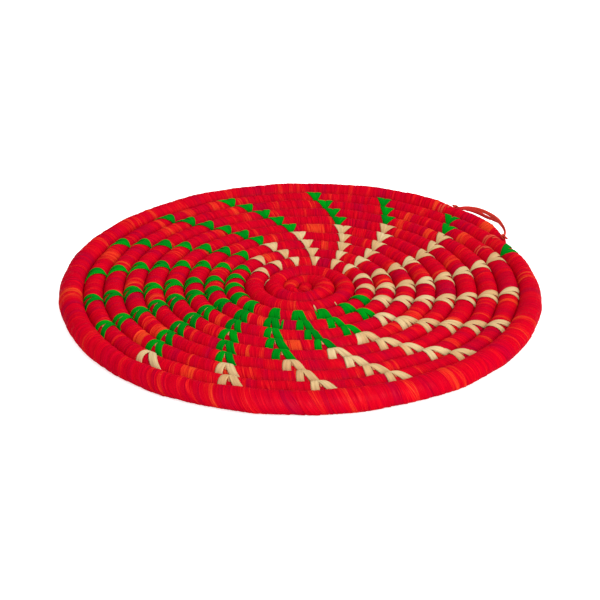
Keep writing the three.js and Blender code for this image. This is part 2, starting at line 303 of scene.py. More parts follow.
# Finishes: the range of the noises, how the fibres change the roughness, the height of their ridges
# in metres, and how fast the gloss falls off with the angle and with darker fibres.
noise_range = (0.3, 0.7)
fibre_roughness = -0.25
middle_roughness = 0.12
ridge_strength = 0.5
ridge_height = 0.0002
gloss_power = 6
satin_power = 5


def between(value, pairs):
    """Straight lines between the pairs of a list, each a place and the size there."""
    places, sizes = zip(*pairs)
    return np.interp(value, places, sizes)


def coil_half(turn):
    """Half the coil's thickness: straight lines between the sizes listed, rounded off at both ends
    as a ball is."""
    along = coil_distance(turn)
    from_start = np.clip((along - coil_distance(start_turn)) / end_rounding, least_rounding, 1)
    from_end = np.clip((coil_distance(end_turn) - along) / end_rounding, least_rounding, 1)
    rounding = np.sqrt(1 - (1 - from_start) ** 2) * np.sqrt(1 - (1 - from_end) ** 2)
    return between(turn, coil_sizes) * rounding


def coil_distance(turn):
    """Length of the spiral from its centre: pi times the pitch times the square of the turns, and a
    straight line that touches it for the curled start."""
    spiral = np.square(np.maximum(turn, curl_turn))
    return math.pi * turn_pitch * (spiral + 2 * curl_turn * np.minimum(turn - curl_turn, 0))


def coil_turn(distance):
    """The turns at a length along the spiral: the square root of the length over pi times the pitch,
    and the straight line of the curled start."""
    square = distance / (math.pi * turn_pitch)
    curled = curl_turn + (square - curl_turn ** 2) / (2 * curl_turn)
    return np.where(square > curl_turn ** 2, np.sqrt(np.maximum(square, 0)), curled)


def coil_radius(turn):
    """Radius of the coil's centre line: one pitch for each turn, moved outward where the rim is
    thicker so that its inner side stays where it is, and as listed for the first turn."""
    plump = between(turn, coil_sizes)
    spiral = turn_pitch * turn + np.where(turn > rim_turn, plump - plain_half, 0)
    return np.where(turn < spiral_turn, between(turn, centre_radii), spiral)


def coil_swell(turn, angle):
    """How far the outer turns bulge: straight lines between the sizes listed by angle. On the right
    the bulge grows evenly over the last turns, and at the front left over one turn, next to the rim."""
    degrees = np.degrees(np.arctan2(np.sin(angle), np.cos(angle)))
    right_share = np.clip((turn - right_swell_turn) / right_swell_growth, 0, 1)
    front_share = np.clip(turn - front_swell_turn, 0, 1)
    return between(degrees, right_swell) * right_share + between(degrees, front_swell) * front_share


def on_coil(turn, around, lift):
    """Points on the coil: the angle is minus a full circle for each turn, the radius is the centre
    line's plus the cosine of around times the half thickness, and the height is the sine of around
    times the same. Lift is added to the half thickness, and where the turns bulge the section is
    wider, so that they still touch."""
    half = coil_half(turn)
    angle = -2 * math.pi * turn
    growth = coil_swell(turn + 0.5, angle) - coil_swell(turn - 0.5, angle)
    reach = coil_radius(turn) + coil_swell(turn, angle) + np.cos(around) * (half + lift + growth / 2)
    middle = base_height + np.maximum(between(turn, coil_sizes), plain_half)
    height = middle + np.sin(around) * (half + lift)
    return np.stack([
        coil_centre[0] + reach * np.cos(angle),
        coil_centre[1] + reach * np.sin(angle),
        np.maximum(height, lowest_height),
    ], axis=-1)


def turn_at(angle, turns):
    """The number of turns at an angle in degrees: the whole turns, and the share of a circle from
    the angle on to 360."""
    return turns + (360 - angle) / 360


def ray_drift(ray, row):
    """Degrees that a ray has drifted at a row: its whole drift times the row's share raised to its
    bend."""
    _, drift, bend, rows = ray
    return drift * (row / (len(rows) - 1)) ** bend


def row_turn(ray, row, angle):
    """The turn of a ray's row, at an angle past the ray's first stitch: one turn for each row, and
    the share of a circle from the first ray."""
    from_first = (rays[0][0] - ray[0] + 360) % 360
    return turn_at(rays[0][0], plain_turns) + row + (from_first - angle) / 360


def add_piece(name, points, quads, quad_uv, triangles, triangle_uv, material):
    """A mesh piece from whole arrays of points in millimetres, four-cornered faces and triangles.
    Where the sum of the corner products says that the shell is inside out, all its faces are turned."""
    halves = np.concatenate([quads[:, [0, 1, 2]], quads[:, [0, 2, 3]], triangles])
    first, second, third = (points[halves[:, corner]] for corner in range(3))
    if np.einsum("ij,ij->", first, np.cross(second, third)) < 0:
        quads, quad_uv = quads[:, ::-1], quad_uv[:, ::-1]
        triangles, triangle_uv = triangles[:, ::-1], triangle_uv[:, ::-1]
    corners = np.concatenate([quads.ravel(), triangles.ravel()])
    triangle_starts = 4 * len(quads) + 3 * np.arange(len(triangles))
    starts = np.concatenate([4 * np.arange(len(quads)), triangle_starts])
    winding = np.concatenate([quad_uv.reshape(-1, 2), triangle_uv.reshape(-1, 2)])
    mesh = bpy.data.meshes.new(name)
    mesh.vertices.add(len(points))
    mesh.vertices.foreach_set("co", (points * MM).astype(np.float32).ravel())
    mesh.loops.add(len(corners))
    mesh.loops.foreach_set("vertex_index", corners.astype(np.int32))
    mesh.polygons.add(len(starts))
    mesh.polygons.foreach_set("loop_start", starts.astype(np.int32))
    mesh.polygons.foreach_set("use_smooth", np.full(len(starts), True))
    layer = mesh.uv_layers.new(name="winding")
    layer.data.foreach_set("uv", winding.astype(np.float32).ravel())
    mesh.materials.append(material)
    mesh.update(calc_edges=True)
    mesh.validate()
    piece = bpy.data.objects.new(name, mesh)
    bpy.context.scene.collection.objects.link(piece)
    return piece


def tube_faces(strands, steps, sides):
    """Faces of several tubes whose points are laid out as strand, step, side: four-cornered faces
    between neighbouring steps and sides, and a fan of triangles over each end."""
    number = np.arange(strands * steps * sides).reshape(strands, steps, sides)
    after = np.roll(number, -1, axis=2)
    quads = np.stack([number[:, :-1], after[:, :-1], after[:, 1:], number[:, 1:]], axis=-1)
    first, last = number[:, 0], number[:, -1]
    start_middle = np.repeat(first[:, :1], sides - 2, 1)
    end_middle = np.repeat(last[:, :1], sides - 2, 1)
    start_fan = np.stack([start_middle, first[:, 2:], first[:, 1:-1]], axis=-1)
    end_fan = np.stack([end_middle, last[:, 1:-1], last[:, 2:]], axis=-1)
    fans = np.concatenate([start_fan.reshape(-1, 3), end_fan.reshape(-1, 3)])
    return quads.reshape(-1, 4), fans


def tube_winding(strands, steps, sides, first_strand):
    """Winding coordinates of such tubes: across is the strand's number plus the side's share of the
    way round, clear of whole numbers by a margin, and along is the step's share of the length. The
    caps take the strand's middle."""
    margin = 0.02
    strand, step, side = np.meshgrid(
        np.arange(strands), np.arange(steps - 1), np.arange(sides), indexing="ij")
    corners = []
    for side_ahead, step_ahead in ((0, 0), (1, 0), (1, 1), (0, 1)):
        share = margin + (1 - 2 * margin) * (side + side_ahead) / sides
        across = first_strand + strand + share
        corners.append(np.stack([across, (step + step_ahead) / (steps - 1)], axis=-1))
    quad_uv = np.stack(corners, axis=-2).reshape(-1, 4, 2)
    caps = np.repeat(first_strand + np.arange(strands) + 0.5, sides - 2)
    cap_uv = np.stack([caps, np.zeros_like(caps)], axis=-1)
    return quad_uv, np.repeat(np.concatenate([cap_uv, cap_uv])[:, None], 3, axis=1)


def add_tubes(name, points, material, first_strand=0):
    """A piece of several closed tubes from points laid out as strand, step, side, coordinate."""
    strands, steps, sides = points.shape[:3]
    quads, triangles = tube_faces(strands, steps, sides)
    quad_uv, triangle_uv = tube_winding(strands, steps, sides, first_strand)
    return add_piece(name, points.reshape(-1, 3), quads, quad_uv, triangles, triangle_uv, material)


def smooth_path(knots, steps):
    """A curve through the knots: on each stretch the usual cubic whose slopes are half the step
    between the neighbours on either side, at a number of steps for each stretch."""
    knots = np.asarray(knots, float)
    before = np.concatenate([2 * knots[:1] - knots[1:2], knots[:-2]])
    after = np.concatenate([knots[2:], 2 * knots[-1:] - knots[-2:-1]])
    share = (np.arange(steps) / steps)[None, :, None]
    one, two = knots[:-1, None], knots[1:, None]
    slope_one, slope_two = (two - before[:, None]) / 2, (after[:, None] - one) / 2
    curve = ((2 * share ** 3 - 3 * share ** 2 + 1) * one
             + (share ** 3 - 2 * share ** 2 + share) * slope_one
             + (3 * share ** 2 - 2 * share ** 3) * two
             + (share ** 3 - share ** 2) * slope_two)
    return np.concatenate([curve.reshape(-1, 3), knots[-1:]])


def unit(vectors):
    """Vectors of length one: each vector over the root of the sum of its squares."""
    return vectors / np.linalg.norm(vectors, axis=-1, keepdims=True)


def add_camera():
    """The camera at its distance from the middle of the face, tilted down by its height angle."""
    tilt = math.radians(camera_height_angle)
    camera = bpy.data.cameras.new("camera")
    camera.lens = camera_lens
    camera.sensor_width = camera_sensor
    camera.shift_x = -picture_shift_right / picture_side
    camera.shift_y = -picture_shift_up / picture_side
    holder = bpy.data.objects.new("camera", camera)
    holder.location = (
        coil_centre[0] * MM,
        (coil_centre[1] - camera_distance * math.cos(tilt)) * MM,
        (face_height + camera_distance * math.sin(tilt)) * MM,
    )
    holder.rotation_euler = (math.pi / 2 - tilt, 0, 0)
    bpy.context.scene.collection.objects.link(holder)
    bpy.context.scene.camera = holder


def add_group(name, inputs, outputs):
    """An empty shader node group with the named inputs and outputs. Each entry is a name and a
    socket type."""
    group = bpy.data.node_groups.new(name, "ShaderNodeTree")
    for label, kind in inputs:
        group.interface.new_socket(label, in_out="INPUT", socket_type=kind)
    for label, kind in outputs:
        group.interface.new_socket(label, in_out="OUTPUT", socket_type=kind)
    return group, group.nodes.new("NodeGroupInput"), group.nodes.new("NodeGroupOutput")


def join(tree, source, target):
    """A link from an output socket to an input socket."""
    tree.links.new(source, target)


def sum_node(tree, operation, first, second=None):
    """A math node whose inputs are sockets or plain numbers."""
    node = tree.nodes.new("ShaderNodeMath")
    node.operation = operation
    for socket, value in zip(node.inputs, (first, second)):
        if value is None:
            continue
        if isinstance(value, (int, float)):
            socket.default_value = value
        else:
            join(tree, value, socket)
    return node.outputs[0]


def make_fibre_group():
    """Raffia fibres: the whole part of the winding coordinate gives each strand its own tone, a noise
    that is quick across the strand and slow along it gives the fibres, a slow noise over many strands
    gives runs, and the edge, painted shade along the lapped edge of each strand, is one at the
    strand's first edge and falls to nothing, more on some strands than on others."""
    strand_shift = 7.31
    # Seed and fall of the painted shade along each strand's lapped edge.
    shade_seed = 0.37
    shade_fall = 5
    group, given, result = add_group("raffia_fibres", [
        ("Winding", "NodeSocketVector"), ("Fibres", "NodeSocketFloat"), ("Stretch", "NodeSocketFloat"),
        ("Run", "NodeSocketFloat"), ("Seed", "NodeSocketFloat"),
    ], [
        ("Tone", "NodeSocketFloat"), ("Streak", "NodeSocketFloat"), ("Patch", "NodeSocketFloat"),
        ("PaintedShade", "NodeSocketFloat"),
    ])
    parts = group.nodes.new("ShaderNodeSeparateXYZ")
    join(group, given.outputs["Winding"], parts.inputs[0])
    strand = sum_node(group, "FLOOR", parts.outputs[0])
    seeded = sum_node(group, "ADD", strand, given.outputs["Seed"])
    tone = group.nodes.new("ShaderNodeTexWhiteNoise")
    tone.noise_dimensions = "1D"
    join(group, seeded, tone.inputs["W"])
    join(group, tone.outputs["Value"], result.inputs["Tone"])

    across = sum_node(group, "MULTIPLY", parts.outputs[0], given.outputs["Fibres"])
    along = sum_node(group, "MULTIPLY", parts.outputs[1], given.outputs["Stretch"])
    shifted = sum_node(group, "ADD", along, sum_node(group, "MULTIPLY", seeded, strand_shift))
    place = group.nodes.new("ShaderNodeCombineXYZ")
    join(group, across, place.inputs[0])
    join(group, shifted, place.inputs[1])
    streak = group.nodes.new("ShaderNodeTexNoise")
    streak.noise_dimensions = "2D"
    streak.inputs["Scale"].default_value = 1
    streak.inputs["Detail"].default_value = 3
    streak.inputs["Roughness"].default_value = 0.6
    join(group, place.outputs[0], streak.inputs["Vector"])
    join(group, streak.outputs[0], result.inputs["Streak"])

    patch = group.nodes.new("ShaderNodeTexNoise")
    patch.noise_dimensions = "1D"
    patch.inputs["Scale"].default_value = 1
    patch.inputs["Detail"].default_value = 2
    join(group, sum_node(group, "MULTIPLY", seeded, given.outputs["Run"]), patch.inputs["W"])
    join(group, patch.outputs[0], result.inputs["Patch"])

    # Painted shade along the lapped edge of each strand: one at its first edge, falling to nothing,
    # more on some strands than on others.
    share = sum_node(group, "SUBTRACT", parts.outputs[0], strand)
    slope = sum_node(group, "SUBTRACT", 1, sum_node(group, "MULTIPLY", share, shade_fall))
    fall = sum_node(group, "MAXIMUM", slope, 0)
    own = group.nodes.new("ShaderNodeTexWhiteNoise")
    own.noise_dimensions = "1D"
    join(group, sum_node(group, "ADD", seeded, shade_seed), own.inputs["W"])
    join(group, sum_node(group, "MULTIPLY", fall, own.outputs["Value"]), result.inputs["PaintedShade"])
    return group


def make_raffia(name, fibre_group, colours, fibres, stretch, run, seed, shares, depth, edge,
                roughness, shine, tint, gloss=0):
    """Raffia of one dye: the tone of each strand, the patches and the fibres, each by its share, pick
    a colour from a ramp. The fibres also make it lighter and darker, rougher and smoother, and raise
    fine ridges. The lapped edges of the strands are darker by edge, which is painted shade. Gloss lies
    on the lighter fibres, most on what faces the viewer, by a power of the cosine."""
    material = bpy.data.materials.new(name)
    material.use_nodes = True
    tree = material.node_tree
    shader = tree.nodes["Principled BSDF"]
    winding = tree.nodes.new("ShaderNodeUVMap")
    winding.uv_map = "winding"
    fibre = tree.nodes.new("ShaderNodeGroup")
    fibre.node_tree = fibre_group
    join(tree, winding.outputs[0], fibre.inputs["Winding"])
    for label, value in (("Fibres", fibres), ("Stretch", stretch), ("Run", run), ("Seed", seed)):
        fibre.inputs[label].default_value = value

    mix = 0.5
    for label, share in zip(("Tone", "Patch", "Streak"), shares):
        centred = sum_node(tree, "SUBTRACT", fibre.outputs[label], 0.5)
        mix = sum_node(tree, "ADD", sum_node(tree, "MULTIPLY", centred, share), mix)
    ramp = tree.nodes.new("ShaderNodeValToRGB")
    join(tree, mix, ramp.inputs[0])
    stops = ramp.color_ramp.elements
    for place, _ in colours[1:-1]:
        stops.new(place)
    for stop, (place, colour) in zip(stops, colours):
        stop.position = place
        stop.color = (*colour, 1)

    light = tree.nodes.new("ShaderNodeMapRange")
    light.inputs["From Min"].default_value = noise_range[0]
    light.inputs["From Max"].default_value = noise_range[1]
    light.inputs["To Min"].default_value = 1 - depth
    light.inputs["To Max"].default_value = 1 + depth
    join(tree, fibre.outputs["Streak"], light.inputs["Value"])
    shade = tree.nodes.new("ShaderNodeVectorMath")
    shade.operation = "SCALE"
    join(tree, ramp.outputs["Color"], shade.inputs[0])
    # Painted shade: the lapped edge of each strand is made darker, by edge.
    lap_shade = sum_node(tree, "SUBTRACT", 1, sum_node(tree, "MULTIPLY", fibre.outputs["PaintedShade"], edge))
    join(tree, sum_node(tree, "MULTIPLY", light.outputs[0], lap_shade), shade.inputs["Scale"])
    join(tree, shade.outputs[0], shader.inputs["Base Color"])

    smoother = sum_node(tree, "MULTIPLY", fibre.outputs["Streak"], fibre_roughness)
    rough = sum_node(tree, "ADD", smoother, roughness + middle_roughness)
    join(tree, rough, shader.inputs["Roughness"])
    shader.inputs["Specular Tint"].default_value = (*tint, 1)
    shader.inputs["Specular IOR Level"].default_value = shine
    if gloss:
        facing = tree.nodes.new("ShaderNodeLayerWeight")
        head_on = sum_node(tree, "SUBTRACT", 1, facing.outputs["Facing"])
        front = sum_node(tree, "MULTIPLY", sum_node(tree, "POWER", head_on, gloss_power), gloss)
        lighter = sum_node(tree, "MULTIPLY", fibre.outputs["Streak"], 2)
        satin = sum_node(tree, "POWER", lighter, satin_power)
        join(tree, sum_node(tree, "MULTIPLY", front, satin), shader.inputs["Coat Weight"])
        shader.inputs["Coat Roughness"].default_value = roughness
    bump = tree.nodes.new("ShaderNodeBump")
    bump.inputs["Strength"].default_value = ridge_strength
    bump.inputs["Distance"].default_value = ridge_height
    join(tree, fibre.outputs["Streak"], bump.inputs["Height"])
    join(tree, bump.outputs[0], shader.inputs["Normal"])
    return material


def make_plain(name, colour, roughness, noise_scale, depth, glow=0):
    """A quiet matt finish: one colour, lighter and darker by a cloudy noise on the piece's own
    coordinates, and an even glow for a lit floor, which lights nothing else."""
    material = bpy.data.materials.new(name)
    material.use_nodes = True
    tree = material.node_tree
    shader = tree.nodes["Principled BSDF"]
    place = tree.nodes.new("ShaderNodeTexCoord")
    cloud = tree.nodes.new("ShaderNodeTexNoise")
    cloud.inputs["Scale"].default_value = noise_scale
    join(tree, place.outputs["Object"], cloud.inputs["Vector"])
    ramp = tree.nodes.new("ShaderNodeValToRGB")
    join(tree, cloud.outputs[0], ramp.inputs[0])
    for stop, factor, spot in zip(ramp.color_ramp.elements, (1 - depth, 1 + depth), noise_range):
        stop.position = spot
        stop.color = (*(min(1, factor * part) for part in colour), 1)
    join(tree, ramp.outputs["Color"], shader.inputs["Base Color"])
    shader.inputs["Roughness"].default_value = roughness
    if glow:
        shader.inputs["Emission Color"].default_value = (1, 1, 1, 1)
        light_path = tree.nodes.new("ShaderNodeLightPath")
        seen = sum_node(tree, "MULTIPLY", light_path.outputs["Is Camera Ray"], glow)
        join(tree, seen, shader.inputs["Emission Strength"])
    return material


def loop_route():
    """The loop's centre line: from eye to eye, bowed outward and a little up between them."""
    span = np.linalg.norm(lower_eye - upper_eye)
    along = (lower_eye - upper_eye) / span
    outward = np.array([-along[1], along[0], 0])
    knots = [(-loop_stub, 0, 0), (-loop_stub / 2, 0, 0)]
    knots += [(share * span, out, rise) for share, out, rise in loop_bow]
    knots += [(span + loop_stub / 2, 0, 0), (span + loop_stub, 0, 0)]
    directions = np.stack([along, outward, np.array([0, 0, 1])])
    return smooth_path(upper_eye + np.array(knots, float) @ directions, route_steps)


def strand_frames(path):
    """Unit vectors across a path that lies level: sideways is the direction of travel turned a quarter
    left, and up is square to both."""
    travel = unit(np.gradient(path, axis=0))
    side = unit(np.cross(np.broadcast_to(np.array([0.0, 0, 1]), path.shape), travel))
    return side, np.cross(travel, side)


def loop_plies(path):
    """The two flat strands of the loop along its path: each has an oval section that rolls slowly, by
    a sine wave along it, and is gathered narrow and round in the eyes. The second strand hangs in and
    down from the first before the middle, by a bell curve."""
    side, up = strand_frames(path)
    length = np.concatenate([[0], np.cumsum(np.linalg.norm(np.diff(path, axis=0), axis=1))])
    along = length / length[-1]
    apart = np.exp(-((along - parting_place) / parting_reach) ** 2)
    from_end = np.minimum(length, length[-1] - length)
    flat = np.clip((from_end - loop_stub - gathered_run) / flat_run, 0, 1)
    ends = np.sqrt(np.clip(from_end / ply_rounding, ply_least, 1))
    around = 2 * math.pi * np.arange(ply_sides) / ply_sides
    plies = []
    for eye_out, flat_out, apart_out, flat_up, apart_up, roll_middle, swing, waves in loop_strands:
        out = eye_out + flat_out * flat + apart_out * apart
        rise = flat_up * flat + apart_up * apart
        roll = roll_middle + swing * np.sin(waves * along)
        middle = path + out[:, None] * side + rise[:, None] * up
        wide = np.cos(roll)[:, None] * side + np.sin(roll)[:, None] * up
        thin = np.cos(roll)[:, None] * up - np.sin(roll)[:, None] * side
        waver = half_waver * np.sin(half_waver_waves * along + half_waver_shift * out)
        half = (gathered_half + (flat_half + waver) * flat) * ends
        depth = (gathered_depth + flat_depth * flat) * ends
        plies.append(middle[:, None] + (half[:, None] * np.cos(around))[..., None] * wide[:, None]
                     + (depth[:, None] * np.sin(around))[..., None] * thin[:, None])
    return np.stack(plies)


def add_loop(material):
    """The hanging loop: two flat raffia strands that turn in their two eyes."""
    path = loop_route()
    loop = add_tubes("loop_strand", loop_plies(path), material, first_strand=40)
    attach(loop, "loop")
    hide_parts("hanging_loop")


def strip_edges():
    """Where each winding of the wrap begins along the coil: a running sum of uneven widths."""
    draw = np.random.default_rng(strip_seed)
    widths = strip_width * np.clip(draw.lognormal(0, strip_spread, strip_draws), *strip_limits)
    edges = coil_distance(start_turn) + np.concatenate([[0], np.cumsum(widths)])
    return edges[:np.searchsorted(edges, coil_distance(end_turn)) + 1 + strip_starts]


def stitch_pinch(distance):
    """How far the stitches and lashings press the coil in: a bell-shaped dip of a few millimetres
    round each of them."""
    turns = [row_turn(ray, row, ray_drift(ray, row)) for ray in rays for row in range(len(ray[3]))]
    turns += [turn_at(angle, whole) for _, _, angle, whole, _, _ in lashings]
    spots = coil_distance(np.array(turns))
    grid = np.arange(0, coil_distance(end_turn) + 4 * pinch_reach, 1.0)
    dips = np.exp(-((grid[:, None] - spots) / pinch_reach) ** 2).max(axis=1)
    return np.interp(distance, grid, dips)


def wrap_lumps(distance, around):
    """Slow unevenness of the coil: a sum of sine waves along it and round it."""
    return sum(height * np.sin(distance / length + waves * around + shift)
               for height, length, waves, shift in lump_waves)


def wrap_slant(turn):
    """How far the windings lean along the coil between its middle and its top: sine waves round an
    average that is larger in the rim."""
    average = between(turn, [(rim_turn, plain_slant), (rim_turn + slant_rise, rim_slant)])
    along = coil_distance(turn)
    return average * sum((share * np.sin(along / length) for share, length in slant_waves), start=1)


def add_wrap(material):
    """The red wrap, one piece for each turn. The windings follow a helix: a ring at a share of a
    strip's width moves a few whole strips along the coil as it goes once round, and meets the ring of
    that winding there. Across each strip the surface falls from its lapped edge and is slightly
    crowned. The sides that touch another turn are pressed even."""
    edges = strip_edges()
    strips = len(edges) - 1 - strip_starts
    place = (np.arange(strips)[:, None] + ring_shares).ravel()
    share = np.tile(ring_shares, strips)
    per_strip = len(ring_shares)
    column = np.arange(wrap_columns + 1) / wrap_columns
    distance = np.interp(place[:, None] + strip_starts * column, np.arange(len(edges)), edges)
    around = math.pi + 2 * math.pi * column[None]
    distance = distance + wrap_slant(coil_turn(distance)) * np.sin(around)
    distance = np.clip(distance, coil_distance(start_turn), coil_distance(end_turn))
    draw = np.random.default_rng(lap_seed)
    tension = np.repeat(draw.normal(0, strip_tension, strips), per_strip)[:, None]
    lap = lap_height * np.repeat(draw.uniform(*lap_limits, strips), per_strip)
    profile = (lap * (1 - share) + strip_crown * np.sin(math.pi * share))[:, None]
    pinch = stitch_pinch(distance)
    uneven = profile + tension + wrap_lumps(distance, around)
    lift = uneven * (1 - pinch_calm * pinch) - pinch_depth * pinch
    turns = coil_turn(distance)
    free = (np.cos(around) > 0) & (turns > end_turn - 1)
    pressed = np.where(free, 0, np.cos(around) ** press_power)
    points = on_coil(turns, around, lift * (1 - pressed) + side_press * pressed)
    first_turns = coil_turn(distance[:, 0])
    cuts = [0] + [int(np.searchsorted(first_turns, turn)) for turn in range(1, whole_turns + 1)]
    cuts.append(len(place) - 1)
    for number, (begin, finish) in enumerate(zip(cuts[:-1], cuts[1:]), start=1):
        turn = add_wrap_turn(f"wrap_turn_{number:02d}", points[begin:finish + 1],
                             place[begin:finish + 1], column, per_strip * strip_starts, material)
        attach(turn, "basket")
        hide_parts("red_wrap")


def grid_cells(grid):
    """The four corners of every cell of a grid, in order round the cell."""
    corners = [grid[:-1, :-1], grid[:-1, 1:], grid[1:, 1:], grid[1:, :-1]]
    return np.stack(corners, axis=2).reshape(-1, 4, *grid.shape[2:])


def add_wrap_turn(name, points, place, column, ahead, material):
    """One turn of the wrap. Its last column of points is the first column, a number of rings ahead, so
    the helix closes, and each stepped end is closed by a fan from the middle of its edge."""
    rings, columns = points.shape[0], points.shape[1] - 1
    number = np.zeros((rings, columns + 1), int)
    number[:, :columns] = np.arange(rings * columns).reshape(rings, columns)
    number[:-ahead, columns] = number[ahead:, 0]
    number[-ahead:, columns] = rings * columns + np.arange(ahead)
    shell = np.concatenate([points[:, :columns].reshape(-1, 3), points[-ahead:, columns]])
    across = np.broadcast_to(place[:, None], number.shape)
    along = np.broadcast_to(column[None], number.shape)
    start_edge = np.concatenate([number[0], number[ahead - 1:0:-1, 0]])
    end_edge = np.concatenate([number[-1], number[-2:-ahead - 1:-1, columns]])
    fans = []
    for edge, turned in ((start_edge, True), (end_edge, False)):
        middle = np.full_like(edge, len(shell))
        shell = np.concatenate([shell, shell[edge].mean(axis=0, keepdims=True)])
        after = np.roll(edge, -1)
        fans.append(np.stack([middle, after, edge] if turned else [middle, edge, after], axis=-1))
    triangles = np.concatenate(fans)
    triangle_uv = np.full((len(triangles), 3, 2), place[0] + 0.5)
    quad_uv = grid_cells(np.stack([across, along], axis=-1))
    return add_piece(name, shell, grid_cells(number), quad_uv, triangles, triangle_uv, material)


def add_knot(material):
    """The knot that the coil starts from: a short wound end in the middle of the first turn. Its rings
    stand across a line that bends a little, and the ring's half is that of an egg, the square root of
    one less a power of the way from the middle, with small ridges for the windings. Its lower half is
    wider and fills the first turn."""
    way = np.linspace(-1, 1, knot_rings)[:, None]
    around = (2 * math.pi * np.arange(knot_sides) / knot_sides)[None]
    first, last = np.array(knot_start), np.array(knot_end)
    travel = unit(last - first)
    across = np.array([travel[1], -travel[0]])
    egg = np.sqrt(np.maximum(1 - np.abs(way) ** knot_fullness, knot_least))
    half = knot_half * egg * (1 + knot_ridge * np.sin(knot_ridge_waves * way + around))
    bend = (knot_bend * (1 - way ** 2))[..., None] * across
    line = (first + last) / 2 + way[..., None] * (last - first) / 2 + bend
    wider = 1 + knot_foot * np.clip(knot_foot_rise - np.sin(around), 0, 1)
    plan = np.array(coil_centre) + line + (half * wider * np.cos(around))[..., None] * across
    height = base_height + plain_half + half * np.sin(around)
    points = np.concatenate([plan, height[..., None]], axis=-1)
    ring, side = np.meshgrid(np.arange(knot_rings - 1), np.arange(knot_sides), indexing="ij")
    corners = []
    for step, turn in ((0, 0), (0, 1), (1, 1), (1, 0)):
        strip = knot_strand + knot_strip_share * (ring + step)
        corners.append(np.stack([strip, (side + turn) / knot_sides], axis=-1))
    quad_uv = np.stack(corners, axis=-2).reshape(-1, 4, 2)
    quads, ends = tube_faces(1, knot_rings, knot_sides)
    end_uv = np.full((len(ends), 3, 2), knot_strand + 0.5)
    knot = add_piece("wrap_knot", points.reshape(-1, 3), quads, quad_uv, ends, end_uv, material)
    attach(knot, "basket")
    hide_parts("red_wrap")


def add_core(material):
    """The grass core, hidden in the wrap: stems along the coil, each a thin tube set off from the
    middle, which drift slowly round one another."""
    turns = np.arange(core_start, end_turn - core_end_gap, 1 / core_steps)
    drift = 2 * math.pi * np.arange(core_stems)[:, None] / core_stems + stem_drift * turns
    share = between(turns, coil_sizes) / plain_half
    around = 2 * math.pi * np.arange(stem_sides) / stem_sides
    half = (stem_half * share)[None, :, None]
    out = (stem_offset * share * np.cos(drift))[..., None] + half * np.cos(around)
    up = (stem_offset * share * np.sin(drift))[..., None] + half * np.sin(around)
    lift = np.hypot(out, up) - coil_half(turns)[None, :, None]
    along = np.broadcast_to(turns[None, :, None], out.shape)
    core = add_tubes("grass_stems", on_coil(along, np.arctan2(up, out), lift), material)
    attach(core, "basket")
    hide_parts("grass_core")


def strap(turn, radius, around, arc, width, lift, crown, ridges):
    """A flat strand laid over the coil: its middle runs round the section, moved along the coil by
    arc. Across it the top is an arch with small ridges and thin edges, and its underside is sunk into
    the wrap. The result is laid out as step, side, coordinate."""
    height = np.broadcast_to(lift, arc.shape)[:, None] + crown * strap_arch
    height[:, strap_top] += ridges
    place = arc[:, None] + strap_across * np.broadcast_to(width, arc.shape)[:, None] / 2
    turns = turn - place / (2 * math.pi * radius)
    return on_coil(turns, np.broadcast_to(around[:, None], turns.shape), height)


def leg_offsets(ahead, size, around):
    """Where the two legs of a stitch lie along the coil. They part evenly on the way from the apex,
    low on the inner side, to the outer groove, and both drift towards the next row's apex. The leg
    behind moves back at once and then stays, by one less the square of what is left of the way."""
    way = np.clip((apex_angle - around) / (apex_angle - parted_angle), 0, 1)
    back = behind_share * leg_spread * size * (1 - (1 - way) ** 2)
    behind = drift_share * ahead * way - apex_setback * size - back
    return behind + leg_spread * size * way, behind


def stitch_place(ray, row):
    """The turn and radius of a stitch, the arc to the next row's apex, and its size, which grows
    evenly with the radius up to full spread."""
    turn = row_turn(ray, row, ray_drift(ray, row))
    radius = turn_pitch * turn
    size = min(1, (radius + turn_pitch / 2) / full_spread_radius) * (first_row_size if row == 0 else 1)
    before = min(row, len(ray[3]) - 2)
    ahead = math.radians(ray_drift(ray, before + 1) - ray_drift(ray, before)) * radius
    return turn, radius, ahead, size


def strip_share(size):
    """The width of a stitch's strip as a share of the full width: narrower on small stitches."""
    return min(1, small_share + (1 - small_share) * size)


def stitch_legs(ray, row, draw):
    """The two legs of one stitch, from the inner groove over the top to the outer groove. Each widens
    from the apex on, and a slanting stretch is wider along the coil by the root of one plus the square
    of its slope."""
    turn, radius, ahead, size = stitch_place(ray, row)
    around = np.linspace(leg_top, leg_end, leg_steps)
    step = plain_half * (leg_top - leg_end) / (leg_steps - 1)
    tuck = np.clip(np.minimum(around - leg_end, leg_top - around) / tuck_run, 0, 1)
    taper = apex_width + (1 - apex_width) * np.clip((taper_start - around) / taper_run, 0, 1)
    wider, lean = wide_stitches.get((rays.index(ray) + 1, row), (1, 0))
    strip = leg_width * (natural_share if ray[3][row] == "N" else 1)
    spread = size * wider * draw.uniform(*spread_limits)
    legs = []
    for offset, over in zip(leg_offsets(ahead + lean, spread, around), (over_lift, 0)):
        waver = draw.normal(0, leg_waver)
        arc = offset + waver * np.clip((apex_angle - around) / apex_angle, 0, 1)
        slant = np.gradient(arc) / step
        width = strip * strip_share(size) * draw.uniform(*width_limits)
        breadth = width * taper * (1 - tuck_share * (1 - tuck)) * np.sqrt(1 + slant ** 2)
        lift = leg_lift + over * np.clip(around / apex_angle, 0, 1) - tuck_depth * (1 - tuck)
        ridges = draw.normal(0, leg_ridge, (1, top_points))
        ridges = ridges + draw.normal(0, leg_ridge / 3, (leg_steps, top_points))
        legs.append(strap(turn, radius, around, arc, breadth, lift, leg_crown, ridges))
    return legs


